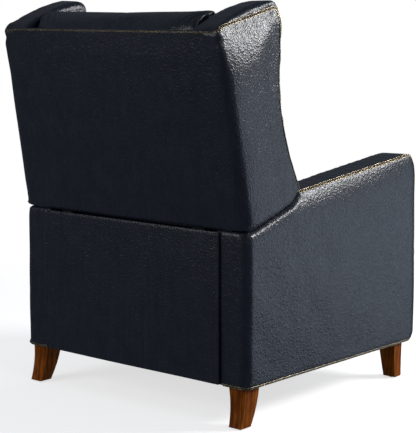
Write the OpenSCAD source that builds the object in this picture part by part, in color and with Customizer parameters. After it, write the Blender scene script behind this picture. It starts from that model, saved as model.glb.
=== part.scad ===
// Push-back reclining wing chair on four tapered feet.
// +Z is up, the sitter faces -Y, and the origin is under the middle of the
// chair on the floor. "left" is the sitter's left, at +X. Millimetres.

/* [Overall] */
// Width over the nail trim of the two arms
chair_w = 780; // [700:5:940]
// Depth of the base, arm fronts to rear face
base_d = 756; // [700:4:908]
// Height of the feet under the base
leg_h = 104; // [60:2:160]
// Height of the base at its rear corner
base_h = 388; // [360:2:470]
// Length of the reclining back above the arms, along its rear face
back_h = 492; // [410:2:590]

/* [Arms] */
// Width of one arm over its trim
arm_w = 100; // [84:2:116]
// Height of the arm front above the feet
arm_front_h = 530; // [500:2:580]
// Radius of the arm's upper front corner
arm_nose_r = 32; // [15:1:50]
// Padding between an arm frame and its cover
arm_pad = 18; // [10:1:24]
// Width of the timber in the arm and wing frames
timber_w = 36; // [24:1:44]

/* [Back and wings] */
// Rearward rake of the back at rest, degrees
back_rake = 10.2; // [4:0.2:14]
// How far one side of the back leans in over its height
wing_taper = 12; // [0:1:20]
// Thickness of one wing with its padding
wing_t = 84; // [70:1:96]
// Depth of a wing at its lower tip
wing_tip_d = 234; // [200:2:250]
// Depth of a wing at its waist
wing_waist_d = 199; // [160:1:220]
// Depth of a wing at its head
wing_head_d = 246; // [200:2:260]
// Gap between the arms and the reclining back
back_gap = 7; // [5:0.5:12]
// Thickness of the lumbar part of the back cushion
lumbar_t = 163; // [120:1:170]

/* [Seat] */
// Top of the seat cushion above the feet
seat_h = 376; // [360:2:420]
// Clearance between the seat cushion and each arm
seat_side_gap = 4; // [3:0.5:10]
// Thickness of the footrest pad
footrest_pad_t = 55; // [30:1:58]
// Height of the footrest panel
footrest_h = 205; // [150:5:210]

/* [Mechanism] */
// Pivot distance of the four recline links
swing_link = 142; // [120:1:150]
// Lean of the recline links at rest, degrees from vertical
swing_rest = 55; // [35:1:60]
// Pivot distance of the footrest links
foot_link = 165; // [150:1:172]
// Angle below level of the rear footrest links at rest
foot_fold = 75; // [65:1:78]
// Thickness of the steel links and rails
steel_t = 4; // [3:0.5:5]
// Radius of the pivot pins
pin_r = 5; // [3:0.5:6]
// Running clearance of a pin in its bore
pin_gap = 0.05; // [0.02:0.01:0.1]

/* [Feet and trim] */
// Width of a leg where it meets the base
leg_top_w = 54; // [32:1:60]
// Depth of a leg where it meets the base
leg_top_d = 54; // [40:1:60]
// Width of a leg at the floor
leg_foot_w = 38; // [22:1:44]
// How far the rear legs kick back
leg_kick = 23; // [0:1:26]
// Width of the nail trim band
trim_w = 5.5; // [4:0.5:8]
// Height of the nail heads above the cover
trim_h = 2.5; // [1:0.5:4]

/* [Hidden] */
$fn = 48;

leather = "#252b38";
lining = "#2b3240";
brass = "#a08a5c";
stained = "#6b3315";
timber = "#c9a87a";
steel = "#3a3d40";
zinc = "#a9abad";

face_x = chair_w / 2 - trim_h;
arm_in = chair_w / 2 - arm_w;
back_over = back_h * sin(back_rake) + trim_h;
front_y = -(base_d + back_over) / 2;
rear_y = front_y + base_d;
back_z = leg_h + base_h + 4;
lean = atan(wing_taper / back_h);

// Turns a point of the raked back, [forward-, up+] from its rear foot, into [y, z]
function from_back(p) = [rear_y + p[0] * cos(back_rake) + p[1] * sin(back_rake),
                         back_z - p[0] * sin(back_rake) + p[1] * cos(back_rake)];
function to_back(q) = let (y = q[0] - rear_y, z = q[1] - back_z)
  [y * cos(back_rake) - z * sin(back_rake), y * sin(back_rake) + z * cos(back_rake)];
function polar(r, a) = r * [cos(a), sin(a)];
function arc(c, r, a0, a1, n = 8) = [for (i = [0:n]) c + polar(r, a0 + (a1 - a0) * i / n)];
function unit(v) = v / norm(v);
function left_of(v) = [-v[1], v[0]];
// Moves every side of a counter-clockwise outline in by t
function inset(p, t) = let (n = len(p)) [for (i = [0:n - 1])
  let (a = p[(i + n - 1) % n], b = p[i], c = p[(i + 1) % n],
       m = left_of(unit(b - a)) + left_of(unit(c - b)))
  b + m * 2 * t / (m * m)];

// Wings: outline in the raked frame of the back, counter-clockwise from the rear foot
panel_t = 6;
wing_shell_t = 56;
wing_lining_t = wing_t - wing_shell_t;
wing_pad = 16;
wing_crown = 38;
frame_front = 42;
tip_slope = 20;
wing_gap_edge = [[-29, 2], [-(wing_tip_d - 43), 2 + tip_slope], [-(wing_tip_d - 16), 12 + tip_slope]];
wing_front_edge = [[-0.93 * wing_head_d, 0.84 * back_h],
  [-wing_waist_d - 8, 0.66 * back_h], [-wing_waist_d, 0.53 * back_h],
  [-wing_waist_d - 3, 0.42 * back_h], [-wing_waist_d - 14, 0.285 * back_h],
  [-wing_tip_d + 6, 0.17 * back_h]];
wing_outline = concat(
  [[-panel_t, 3]],
  arc([-panel_t - 14, back_h - 2], 14, 0, 70, 4),
  [[-0.3 * wing_head_d, back_h + 0.7 * wing_crown], [-0.53 * wing_head_d, back_h + 0.97 * wing_crown],
   [-0.75 * wing_head_d, back_h + wing_crown + 2]],
  arc([-wing_head_d + 30, back_h + wing_crown - 30], 30, 90, 180, 5),
  [[-wing_head_d + 3, 0.945 * back_h]], wing_front_edge,
  [[-wing_tip_d - 3, 0.1 * back_h], [-wing_tip_d, 42]],
  [wing_gap_edge[2], wing_gap_edge[1], wing_gap_edge[0]]);
// The outer panel of a wing stops short of its crowned top
wing_panel = concat(
  [[-panel_t, 3], [-panel_t - 6, back_h + 11]],
  arc([-wing_head_d + 24, back_h + 3], 18, 90, 180, 3),
  [[-wing_head_d + 6, 0.96 * back_h]], wing_front_edge,
  [[-wing_tip_d - 3, 0.1 * back_h], [-wing_tip_d, 42]],
  [wing_gap_edge[2], wing_gap_edge[1], wing_gap_edge[0]]);
// The timber under the cover has square corners
wing_core = inset(concat(
  [[-panel_t, 3], [-panel_t, back_h + 8], [-wing_head_d + 14, back_h + wing_crown - 4]],
  wing_front_edge, [[-wing_tip_d, 26], wing_gap_edge[1]]), wing_pad);
wing_window = [
  [-panel_t - wing_pad - timber_w, 2 * timber_w],
  [-panel_t - wing_pad - timber_w, back_h - wing_pad - timber_w],
  [-wing_head_d + wing_pad + 1.4 * timber_w, back_h + wing_crown - wing_pad - 1.4 * timber_w],
  [-wing_waist_d + wing_pad + timber_w, 0.53 * back_h],
  [-wing_tip_d + wing_pad + 1.6 * timber_w, tip_slope + wing_pad + 1.8 * timber_w]];

// Arms: outline in [y, z], counter-clockwise from the rear foot
arm_front_z = leg_h + arm_front_h;
arm_toe_r = 26;
shoulder = from_back([-wing_tip_d, 42]) + [-back_gap, -2];
arm_edge = concat(
  [[rear_y, leg_h], [rear_y, leg_h + base_h]],
  [from_back(wing_gap_edge[0]) - [0, back_gap], from_back(wing_gap_edge[1]) - [0, back_gap],
   from_back(wing_gap_edge[2]) - [back_gap, back_gap] * 0.8, shoulder],
  arc([front_y + arm_nose_r + 6, arm_front_z - arm_nose_r], arm_nose_r, 82, 172, 6),
  arc([front_y + arm_toe_r, leg_h + arm_toe_r], arm_toe_r, 180, 270, 6));
// The timber under the cover has square corners, and two windows beside a middle post
arm_core = inset([[rear_y, leg_h - arm_pad], [rear_y, leg_h + base_h],
  from_back(wing_gap_edge[1]) - [0, back_gap], shoulder, [front_y + 4, arm_front_z],
  [front_y, leg_h - arm_pad]], arm_pad);
window_foot = leg_h + timber_w + 8;
window_drop = arm_pad + 1.2 * timber_w;
arm_window = [[rear_y - arm_pad - timber_w, window_foot],
  [rear_y - arm_pad - timber_w, leg_h + base_h - window_drop],
  shoulder - [0, window_drop], [front_y + arm_pad + timber_w, arm_front_z - window_drop],
  [front_y + arm_pad + timber_w, window_foot]];
arm_shell_t = 62;
arm_lining_t = arm_w - trim_h - arm_shell_t;
cover_t = 10;

// Feet
glide_h = 3;
glide_r = 9;
stem_r = 2.5;
stem_h = 12;
plate_t = 3;
bolt_r = 4;
bolt_in_leg = 34;
bolt_in_frame = 26;
leg_x = face_x - 4 - leg_top_w / 2;
front_leg_d = 0.7 * leg_top_d;
front_leg_y = front_y + 43 + front_leg_d / 2;
leg_splay = 5.5;
front_kick = -4.5;
rear_leg_y = rear_y - 14 - leg_top_d / 2;

// Recline mechanism, layers counted inwards from the arm lining
side_plate_t = 6;
side_plate_x = arm_in - 4 - side_plate_t;
swing_x = side_plate_x - 4 - 6;
swing_t = 6;
rail_x = swing_x - 2 - steel_t;
foot_b_x = rail_x - 2 - steel_t;
foot_a_x = foot_b_x - 2 - steel_t;
seat_box_x = foot_a_x - 2;
front_pivot = [front_y + 272, leg_h + 46];
rear_pivot = [rear_y - 234, leg_h + 46];
swing_run = swing_link * [sin(swing_rest), cos(swing_rest)];
hinge = [rear_y - 49, leg_h + 261];
link_r = 14;
open_gap = 2;

// Footrest mechanism, angles in a frame whose first axis points forward
foot_root = [front_y + 172, leg_h + 186];
foot_knee = foot_root + foot_link * [-cos(foot_fold), -sin(foot_fold)];
foot_tip = foot_knee + foot_link * [-cos(foot_fold), sin(foot_fold)];
foot_pin_r = 4;
foot_link_r = 11;
board_off = 15;
board_t = 12;
board_top = leg_h + 226;
footrest_half = arm_in - 8;

// Seat box
box_top = leg_h + 239;
rail_h = 43;
rail_w = 35;
box_front = foot_tip[0] + 10;
box_rear = rear_y - 94;
deck_t = 4;
seat_front = front_y + 17;
seat_rear = rear_y - frame_front - 142;
seat_half = arm_in - seat_side_gap;
wire_r = 2;
clip = [12, 8, 10];

// Back frame, in the raked frame of the back
stile_t = 20;
stile_w = 35;
rail_t = 14;
hinge_l = to_back(hinge);
stile_foot = hinge_l[1] - 14;
stile_top = back_h - 42;
back_half = arm_in - 4;

module slab(x0, w) translate([x0, 0, 0]) rotate([90, 0, 90]) linear_extrude(w) children();
module side(s) mirror([s < 0 ? 1 : 0, 0, 0]) children();
module both() { side(1) children(); side(-1) children(); }
module back_place() translate([0, rear_y, back_z]) rotate([-back_rake, 0, 0]) children();
module wing_place() back_place() translate([face_x, 0, 0]) rotate([0, -lean, 0]) children();
// A round pin along X, from x0 to x1 at [y, z]
module pin(x0, x1, p, r) translate([x0, p[0], p[1]]) rotate([0, 90, 0]) cylinder(h = x1 - x0, r = r);
module ring(outline, outer, inner) difference() {
  polygon(inset(outline, outer));
  polygon(inset(outline, inner));
}
// A flat bar with wider round eyes at [y, z] points a and b
module bar(x0, t, a, b, r) {
  d = b - a;
  waist = 0.8 * r;
  translate([x0, a[0], a[1]]) rotate([atan2(d[1], d[0]), 0, 0])
    translate([0, 0, -waist]) cube([t, norm(d), 2 * waist]);
  pin(x0, x0 + t, a, r);
  pin(x0, x0 + t, b, r);
}

// ---- Arms ----
module cross_rail_holes() {
  pin_box(front_rail_box);
  pin_box(rear_rail_box);
}
module pin_box(b) translate([0, b[0][0], b[0][1]]) cube([rail_reach, b[1][0] - b[0][0], b[1][1] - b[0][1]]);
front_rail_box = [[front_y + 207, leg_h + 2], [front_y + 232, leg_h + 66]];
rear_rail_box = [[rear_y - 34, leg_h + 2], [rear_y - 8, leg_h + 86]];
rail_reach = arm_in + arm_lining_t;

module arm_cover() color(leather) difference() {
  slab(face_x - arm_shell_t, arm_shell_t) polygon(arm_edge);
  slab(face_x - arm_shell_t - 1, arm_shell_t - cover_t + 1) {
    polygon(arm_core);
    translate([front_y + arm_pad, leg_h - 1]) square([base_d - 2 * arm_pad, 2]);
  }
}
module arm_lining() color(lining) difference() {
  slab(arm_in, arm_lining_t) polygon(inset(arm_edge, 0.5));
  cross_rail_holes();
}
module arm_frame() color(timber) difference() {
  slab(face_x - arm_shell_t, arm_shell_t - cover_t) difference() {
    polygon(arm_core);
    difference() {
      polygon(arm_window);
      translate([-timber_w / 2, leg_h]) square([timber_w, arm_front_h]);
    }
  }
  for (y = [front_leg_y, rear_leg_y]) translate([leg_x, y, leg_h]) {
    translate([-leg_top_w / 2, -leg_top_d / 2, -1]) cube([leg_top_w, leg_top_d, plate_t + 1]);
    cylinder(h = plate_t + bolt_in_frame + 1, r = bolt_r + 0.1);
  }
}
module arm_trim() color(brass) {
  intersection() {
    slab(face_x, trim_h) ring(arm_edge, 0, trim_w);
    translate([face_x - 1, front_y, leg_h]) cube([trim_h + 2, base_d - trim_w - 2, arm_front_h]);
  }
  translate([rear_flap_half + 2, rear_y, leg_h])
    cube([face_x - rear_flap_half - 6, trim_h, trim_w]);
}

// ---- Base ----
module cross_rail(b) color(timber) translate([-rail_reach, b[0][0], b[0][1]])
  cube([2 * rail_reach, b[1][0] - b[0][0], b[1][1] - b[0][1]]);
rear_flap_half = arm_in + 24;
flap_t = 8;
module rear_flap() color(leather) translate([-rear_flap_half, rear_y, leg_h + 1])
  cube([2 * rear_flap_half, flap_t, base_h - 3]);
module flap_board() color(timber) translate([-arm_in + 2, rear_y - 5, leg_h + 28])
  cube([2 * arm_in - 4, 5, base_h - 42]);

// A tapered foot: curved in side view, straight in front view
module leg(y, kick, depth_top, depth_foot) {
  steps = 8;
  h = leg_h - glide_h;
  half_top = depth_top / 2;
  rear_edge = [for (i = [0:steps]) let (t = i / steps)
    [half_top - (half_top - depth_foot / 2) * t + kick * t * t, h * (1 - t)]];
  fore_edge = [for (i = [steps:-1:0]) let (t = i / steps)
    [-half_top + (half_top - depth_foot / 2) * t + kick * t * t, h * (1 - t)]];
  color(stained) difference() {
    translate([leg_x, y, glide_h]) intersection() {
      slab(-leg_top_w / 2, leg_top_w) polygon(concat(fore_edge, rear_edge));
      translate([0, leg_top_d, 0]) rotate([90, 0, 0]) linear_extrude(2 * leg_top_d)
        polygon([[leg_splay - leg_foot_w / 2, 0], [leg_splay + leg_foot_w / 2, 0],
          [leg_top_w / 2, h], [-leg_top_w / 2, h]]);
    }
    translate([leg_x, y, leg_h - bolt_in_leg]) cylinder(h = bolt_in_leg + 1, r = bolt_r + 0.1);
    translate([leg_x + leg_splay, y + kick, 0])
      cylinder(h = glide_h + stem_h + 0.2, r = stem_r + 0.05);
  }
}
rear_foot_d = 40;
front_foot_d = 31;
module leg_plates() color(steel) both()
  for (p = [[front_leg_y, front_leg_d - 6], [rear_leg_y, leg_top_d - 10]])
  translate([leg_x, p[0], leg_h]) difference() {
    translate([-leg_top_w / 2 + 3, -p[1] / 2, 0]) cube([leg_top_w - cover_t, p[1], plate_t]);
    translate([0, 0, -1]) cylinder(h = plate_t + 2, r = bolt_r + 0.1);
  }
module hanger_bolts() color(zinc) both() for (y = [front_leg_y, rear_leg_y])
  translate([leg_x, y, leg_h - bolt_in_leg + 2])
    cylinder(h = bolt_in_leg + plate_t + bolt_in_frame - 4, r = bolt_r);
module foot_glides() color(steel) both() for (y = [front_leg_y + front_kick, rear_leg_y + leg_kick])
  translate([leg_x + leg_splay, y, 0]) {
    cylinder(h = glide_h, r = glide_r);
    cylinder(h = glide_h + stem_h, r = stem_r);
  }

// ---- Recline mechanism, fixed part ----
plate_h = 50;
side_plate_y = [front_pivot[0] - 35, rear_pivot[0] + 35];
bolt_spots = [[front_pivot[0] + 60, leg_h + 33], [rear_pivot[0] - 60, leg_h + 33]];
plate_bolt_r = 4;
module mechanism_plate() color(steel) difference() {
  translate([side_plate_x, side_plate_y[0], leg_h + 21])
    cube([side_plate_t, side_plate_y[1] - side_plate_y[0], plate_h]);
  for (p = [front_pivot, rear_pivot])
    pin(side_plate_x - 1, side_plate_x + side_plate_t + 1, p, pin_r);
  for (p = bolt_spots) pin(side_plate_x - 1, side_plate_x + side_plate_t + 1, p, plate_bolt_r);
}
module plate_bolts() color(zinc) both() for (p = bolt_spots) {
  pin(side_plate_x, arm_in, p, plate_bolt_r);
  pin(side_plate_x - 3, side_plate_x, p, plate_bolt_r * 2);
}
module base_pivot_pins() color(zinc) both() for (p = [front_pivot, rear_pivot])
  pin(swing_x - 1, side_plate_x + side_plate_t, p, pin_r);
module base_cross_tube() color(steel) difference() {
  pin(-side_plate_x, side_plate_x, tube_spot, 9);
  pin(-side_plate_x - 1, side_plate_x + 1, tube_spot, 7);
}
tube_spot = [(front_pivot[0] + rear_pivot[0]) / 2, leg_h + 32];

// ---- Recline links ----
module swing_links(foot, gap) color(zinc) both() difference() {
  bar(swing_x, swing_t, foot, foot + swing_run, link_r);
  pin(swing_x - 1, swing_x + swing_t + 1, foot, pin_r + gap);
  pin(swing_x - 1, swing_x + swing_t + 1, foot + swing_run, pin_r);
}
module swing_torque_tube() color(steel) difference() {
  pin(-swing_x, swing_x, front_pivot + swing_run / 2, 8);
  pin(-swing_x - 1, swing_x + 1, front_pivot + swing_run / 2, 6);
}
module upper_pins(foot) color(zinc) both()
  pin(rail_x - 1, swing_x + swing_t, foot + swing_run, pin_r);

// ---- Seat ----
rail_z = [leg_h + 174, leg_h + 221];
seat_bolt_spots = [[front_y + 260, leg_h + 205], [rear_y - 140, leg_h + 205]];
module seat_rail() color(steel) difference() {
  union() {
    translate([rail_x, foot_root[0] - 20, rail_z[0]])
      cube([steel_t, hinge[0] + 16 - foot_root[0] + 20, rail_z[1] - rail_z[0]]);
    for (p = [front_pivot + swing_run, rear_pivot + swing_run])
      bar(rail_x, steel_t, p, [p[0], rail_z[0] + 16], 16);
    bar(rail_x, steel_t, [hinge[0], rail_z[1] - 16], hinge, 16);
  }
  pin(rail_x - 1, rail_x + steel_t + 1, front_pivot + swing_run, pin_r + pin_gap);
  pin(rail_x - 1, rail_x + steel_t + 1, rear_pivot + swing_run, pin_r + open_gap);
  pin(rail_x - 1, rail_x + steel_t + 1, hinge, pin_r);
  pin(rail_x - 1, rail_x + steel_t + 1, foot_root, foot_pin_r);
  for (p = seat_bolt_spots) pin(rail_x - 1, rail_x + steel_t + 1, p, plate_bolt_r);
}
module back_hinge_pins() color(zinc) both()
  pin(bracket_x - 0.3, rail_x + steel_t, hinge, pin_r);
module footrest_root_pins() color(zinc) both() {
  pin(foot_a_x - 1, rail_x + steel_t, foot_root, foot_pin_r);
  for (p = seat_bolt_spots) pin(seat_box_x - rail_w, rail_x + steel_t, p, plate_bolt_r);
}
module seat_side_rails() color(timber) both() difference() {
  translate([seat_box_x - rail_w, box_front, box_top - rail_h])
    cube([rail_w, box_rear - box_front, rail_h]);
  for (p = seat_bolt_spots) pin(seat_box_x - rail_w - 1, seat_box_x + 1, p, plate_bolt_r);
}
module seat_cross_rails() color(timber) for (y = [box_front, box_rear - rail_w])
  translate([-(seat_box_x - rail_w), y, box_top - rail_h])
    cube([2 * (seat_box_x - rail_w), rail_w, rail_h]);
wire_run = [box_front + rail_w + clip[1] + wire_r, box_rear - rail_w - clip[1] - wire_r];
wire_z = box_top - 8;
wire_waves = 9;
wire_rings = 6 * wire_waves;
wire_sides = 6;
wire_swing = 18;
wire_pitch = 92;
wire_x = [for (i = [-1.5:1:1.5]) i * wire_pitch];
function wire_at(u) = [wire_swing * sin(360 * wire_waves * u), wire_run[0] + (wire_run[1] - wire_run[0]) * u];
module wire() {
  points = [for (i = [0:wire_rings], k = [0:wire_sides - 1])
    let (u = i / wire_rings, p = wire_at(u), n = left_of(unit(wire_at(u + 0.001) - wire_at(u - 0.001))),
         q = polar(wire_r, 360 * k / wire_sides))
    [p[0] + n[0] * q[0], p[1] + n[1] * q[0], wire_z + q[1]]];
  skin = [for (i = [0:wire_rings - 1], k = [0:wire_sides - 1])
    let (a = i * wire_sides, n = (k + 1) % wire_sides)
    [a + k, a + wire_sides + k, a + wire_sides + n, a + n]];
  ends = [[for (k = [0:wire_sides - 1]) k],
          [for (k = [wire_sides - 1:-1:0]) wire_rings * wire_sides + k]];
  polyhedron(points, concat(skin, ends));
}
module seat_springs() color(zinc) for (x = wire_x) translate([x, 0, 0]) wire();
module spring_clips() color(steel) for (x = wire_x, y = [box_front + rail_w, box_rear - rail_w - clip[1]])
  translate([x - clip[0] / 2, y, wire_z - clip[2] / 2]) cube(clip);
module seat_deck() color("#20222a") translate([-seat_half + 2, seat_front + 5, box_top])
  cube([2 * seat_half - 4, box_rear - seat_front - 5, deck_t]);
module seat_cushion() color(leather) slab(-seat_half, 2 * seat_half) polygon(concat(
  [[seat_rear, box_top + deck_t + 0.5]],
  arc([seat_rear - 30, leg_h + seat_h - 30], 30, 0, 90, 5),
  arc([seat_front + 45, leg_h + seat_h - 45], 45, 90, 180, 6),
  arc([seat_front + 20, box_top + deck_t + 20.5], 20, 180, 270, 4)));

// ---- Back ----
bracket_x = seat_box_x + 0.5;
bracket_t = 4;
bracket_rise = 130;
module back_stiles() color(timber) back_place() both()
  translate([seat_box_x - stile_w, -panel_t - stile_t, stile_foot])
    cube([stile_w, stile_t, stile_top - stile_foot]);
rail_d = 50;
rail_at = [28, 0.48 * back_h, stile_top - rail_d];
module back_rails() color(timber) back_place() for (z = rail_at) {
  reach = face_x - wing_shell_t - 3 - (z + rail_d) * tan(lean);
  translate([-reach, -panel_t - stile_t - rail_t, z]) cube([2 * reach, rail_t, rail_d]);
}
strap_w = 28;
// Straps sit evenly between the rails: each span is [foot, head, count]
strap_spans = [[rail_at[0] + rail_d, rail_at[1], 3], [rail_at[1] + rail_d, rail_at[2], 2]];
module back_webbing() color("#6f6a5c") back_place() for (s = strap_spans, i = [0.5:1:s[2] - 0.5])
  translate([-seat_box_x, -panel_t - stile_t - 2, s[0] + i * (s[1] - s[0]) / s[2] - strap_w / 2])
    cube([2 * seat_box_x, 2, strap_w]);
module back_bracket() color(steel) back_place() difference() {
  union() {
    bar(bracket_x, bracket_t, hinge_l, [-panel_t - stile_t / 2, hinge_l[1] + 20], 13);
    translate([bracket_x, -panel_t - stile_t, hinge_l[1] + 10]) cube([bracket_t, stile_t, bracket_rise]);
  }
  pin(bracket_x - 1, bracket_x + bracket_t + 1, hinge_l, pin_r + pin_gap);
}
module outside_back() color(leather) back_place() rotate([90, 0, 0]) linear_extrude(panel_t)
  polygon([[-face_x, 3], [face_x, 3], [face_x - wing_taper, back_h], [-face_x + wing_taper, back_h]]);
cushion_edge = concat(
  [[-frame_front - 1, -92], [-frame_front - 1, stile_top + 2], [-panel_t - 0.5, stile_top + 2],
   [-panel_t - 0.5, back_h]],
  [[-30, back_h + 20], [-52, back_h + 29], [-75, back_h + 32], [-104, back_h + 26],
   [-135, back_h + 12], [-160, back_h - 12], [-frame_front - 134, 0.914 * back_h],
   [-frame_front - 146, 0.724 * back_h], [-frame_front - 150, 0.516 * back_h],
   [-frame_front - lumbar_t + 6, 0.307 * back_h], [-frame_front - lumbar_t, 0.14 * back_h],
   [-frame_front - lumbar_t + 4, 8], [-frame_front - 146, -26], [-frame_front - 130, -44],
   [-frame_front - 112, -78], [-frame_front - 98, -92]]);
module back_cushion() color(leather) back_place() slab(-back_half, 2 * back_half) polygon(cushion_edge);

// ---- Wings ----
module wing_cover() color(leather) wing_place() difference() {
  slab(-wing_shell_t, wing_shell_t) polygon(wing_outline);
  slab(-wing_shell_t - 1, wing_shell_t - cover_t + 1) polygon(wing_core);
}
module wing_frame() color(timber) wing_place() slab(-wing_shell_t, wing_shell_t - cover_t)
  difference() {
    polygon(wing_core);
    polygon(wing_window);
  }
module wing_lining() color(lining) wing_place() difference() {
  slab(-wing_t, wing_lining_t) polygon(inset(wing_outline, 0.5));
  translate([-wing_t - 1, -frame_front - 1, -50]) cube([wing_t, frame_front + 2, stile_top + 52]);
}
module wing_trim() color(brass) wing_place() difference() {
  slab(0, trim_h) ring(wing_panel, 0, trim_w);
  translate([-1, -2 * wing_tip_d, -5]) cube([trim_h + 2, 3 * wing_tip_d, 45]);
  translate([-1, -panel_t - 1 - 2 * trim_w, -5]) cube([trim_h + 2, 60, back_h + 8]);
}
module back_top_trim() color(brass) back_place()
  translate([-face_x + wing_taper + 8, 0, back_h - 6 - trim_w])
    cube([2 * (face_x - wing_taper - 8), trim_h, trim_w]);

// ---- Footrest ----
function along(a, b, s) = a + (b - a) * s;
module footrest_rear_links() color(zinc) both() difference() {
  bar(foot_a_x, steel_t, foot_root, foot_knee, foot_link_r);
  pin(foot_a_x - 1, foot_a_x + steel_t + 1, foot_root, foot_pin_r + pin_gap);
  pin(foot_a_x - 1, foot_a_x + steel_t + 1, foot_knee, foot_pin_r);
}
module footrest_torsion_tube() color(steel) {
  pin(-foot_a_x, foot_a_x, along(foot_root, foot_knee, 0.6), 7);
  both() pin(foot_a_x, foot_b_x + steel_t, foot_knee, foot_pin_r);
}
module footrest_front_links() color(zinc) both() difference() {
  union() {
    bar(foot_b_x, steel_t, foot_knee, foot_tip, foot_link_r);
    pin(foot_a_x - 1, foot_b_x, foot_tip, foot_pin_r);
  }
  pin(foot_b_x - 1, foot_b_x + steel_t + 1, foot_knee, foot_pin_r + pin_gap);
}
board_y = foot_tip[0] - board_off;
module footrest_brackets() color(steel) both() difference() {
  union() {
    bar(foot_a_x, steel_t, foot_tip, foot_tip + [0, -30], foot_link_r);
    translate([foot_a_x, board_y, foot_tip[1] - 41]) cube([steel_t, board_off, 52]);
    translate([foot_a_x - 24, board_y, foot_tip[1] - 41]) cube([24, 2, 52]);
  }
  pin(foot_a_x - 1, foot_a_x + steel_t + 1, foot_tip, foot_pin_r + pin_gap);
}
module footrest_board() color(timber)
  translate([-footrest_half, board_y - board_t, board_top - footrest_h])
    cube([2 * footrest_half, board_t, footrest_h]);
pad_y = board_y - board_t - 0.3;
module footrest_pad() color(leather) slab(-footrest_half, 2 * footrest_half) polygon(concat(
  [[pad_y, board_top - footrest_h], [pad_y, board_top]],
  arc([pad_y - footrest_pad_t + 18, board_top - 18], 18, 90, 180, 5),
  arc([pad_y - footrest_pad_t + 18, board_top - footrest_h + 18], 18, 180, 270, 5)));

side(1) arm_cover();  // arm_cover_left
side(-1) arm_cover();  // arm_cover_right
side(1) arm_lining();  // arm_lining_left
side(-1) arm_lining();  // arm_lining_right
side(1) arm_frame();  // arm_frame_left
side(-1) arm_frame();  // arm_frame_right
side(1) arm_trim();  // arm_trim_left
side(-1) arm_trim();  // arm_trim_right
cross_rail(front_rail_box);  // front_cross_rail
cross_rail(rear_rail_box);  // rear_cross_rail
rear_flap();
flap_board();
side(1) leg(front_leg_y, front_kick, front_leg_d, front_foot_d);  // front_leg_left
side(-1) leg(front_leg_y, front_kick, front_leg_d, front_foot_d);  // front_leg_right
side(1) leg(rear_leg_y, leg_kick, leg_top_d, rear_foot_d);  // rear_leg_left
side(-1) leg(rear_leg_y, leg_kick, leg_top_d, rear_foot_d);  // rear_leg_right
leg_plates();
hanger_bolts();
foot_glides();
side(1) mechanism_plate();  // mechanism_plate_left
side(-1) mechanism_plate();  // mechanism_plate_right
base_cross_tube();
plate_bolts();
base_pivot_pins();
swing_links(front_pivot, pin_gap);  // front_swing_links
swing_torque_tube();
upper_pins(front_pivot);  // front_upper_pins
swing_links(rear_pivot, pin_gap);  // rear_swing_links
upper_pins(rear_pivot);  // rear_upper_pins
side(1) seat_rail();  // seat_rail_left
side(-1) seat_rail();  // seat_rail_right
seat_side_rails();
seat_cross_rails();
seat_springs();
spring_clips();
seat_deck();
seat_cushion();
back_hinge_pins();
footrest_root_pins();
back_stiles();
back_rails();
back_webbing();
side(1) back_bracket();  // back_bracket_left
side(-1) back_bracket();  // back_bracket_right
outside_back();
back_cushion();
side(1) wing_cover();  // wing_cover_left
side(-1) wing_cover();  // wing_cover_right
side(1) wing_lining();  // wing_lining_left
side(-1) wing_lining();  // wing_lining_right
both() wing_frame();  // wing_frames
side(1) wing_trim();  // wing_trim_left
side(-1) wing_trim();  // wing_trim_right
back_top_trim();
footrest_rear_links();
footrest_torsion_tube();
footrest_front_links();
footrest_brackets();
footrest_board();
footrest_pad();
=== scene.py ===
import math

import bpy
import numpy as np
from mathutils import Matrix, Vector
from mathutils.bvhtree import BVHTree


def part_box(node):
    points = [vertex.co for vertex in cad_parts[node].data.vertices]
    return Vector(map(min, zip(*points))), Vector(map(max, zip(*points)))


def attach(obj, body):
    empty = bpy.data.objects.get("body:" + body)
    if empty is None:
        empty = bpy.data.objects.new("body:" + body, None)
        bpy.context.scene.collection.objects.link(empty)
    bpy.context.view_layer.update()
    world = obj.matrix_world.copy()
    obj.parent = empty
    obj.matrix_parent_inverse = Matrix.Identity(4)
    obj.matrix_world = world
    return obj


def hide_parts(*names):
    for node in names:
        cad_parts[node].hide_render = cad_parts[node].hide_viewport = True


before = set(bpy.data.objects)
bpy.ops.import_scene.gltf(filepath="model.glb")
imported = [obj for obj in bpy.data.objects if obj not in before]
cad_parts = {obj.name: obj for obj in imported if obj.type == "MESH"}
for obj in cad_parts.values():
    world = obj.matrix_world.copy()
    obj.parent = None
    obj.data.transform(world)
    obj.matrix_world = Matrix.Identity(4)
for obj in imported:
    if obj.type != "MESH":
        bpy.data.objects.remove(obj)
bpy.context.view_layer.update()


# ---- Camera and studio ----
# The chair stands on a pale floor that fades into a white surround. A long soft box stands high
# by the sitter's right hand, a cool one fills from the floor, and weak ones light the side, the
# front and the rear.
EYE = Vector((-2.5898, 3.0246, 1.0365))
GAZE = Vector((0.6458, -0.7502, -0.1422))


def deselect():
    """Nothing stays selected, so that the next operator acts on its own piece only."""
    for thing in list(bpy.context.selected_objects):
        thing.select_set(False)


def soft_box(name, place, target, width, height, power, tint=(1, 1, 1)):
    """A rectangular area light that faces a point."""
    deselect()
    bpy.ops.object.light_add(type="AREA", location=place)
    lamp = bpy.context.object
    lamp.name = name
    lamp.rotation_euler = (Vector(target) - Vector(place)).to_track_quat("-Z", "Y").to_euler()
    lamp.data.shape = "RECTANGLE"
    lamp.data.size, lamp.data.size_y = width, height
    lamp.data.energy = power
    lamp.data.color = tint


deselect()
bpy.ops.object.camera_add(location=EYE)
camera = bpy.context.object
camera.rotation_euler = GAZE.to_track_quat("-Z", "Y").to_euler()
camera.data.lens = 120.69
camera.data.sensor_width = 36
bpy.context.scene.camera = camera
bpy.context.scene.view_settings.view_transform = "Standard"

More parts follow.
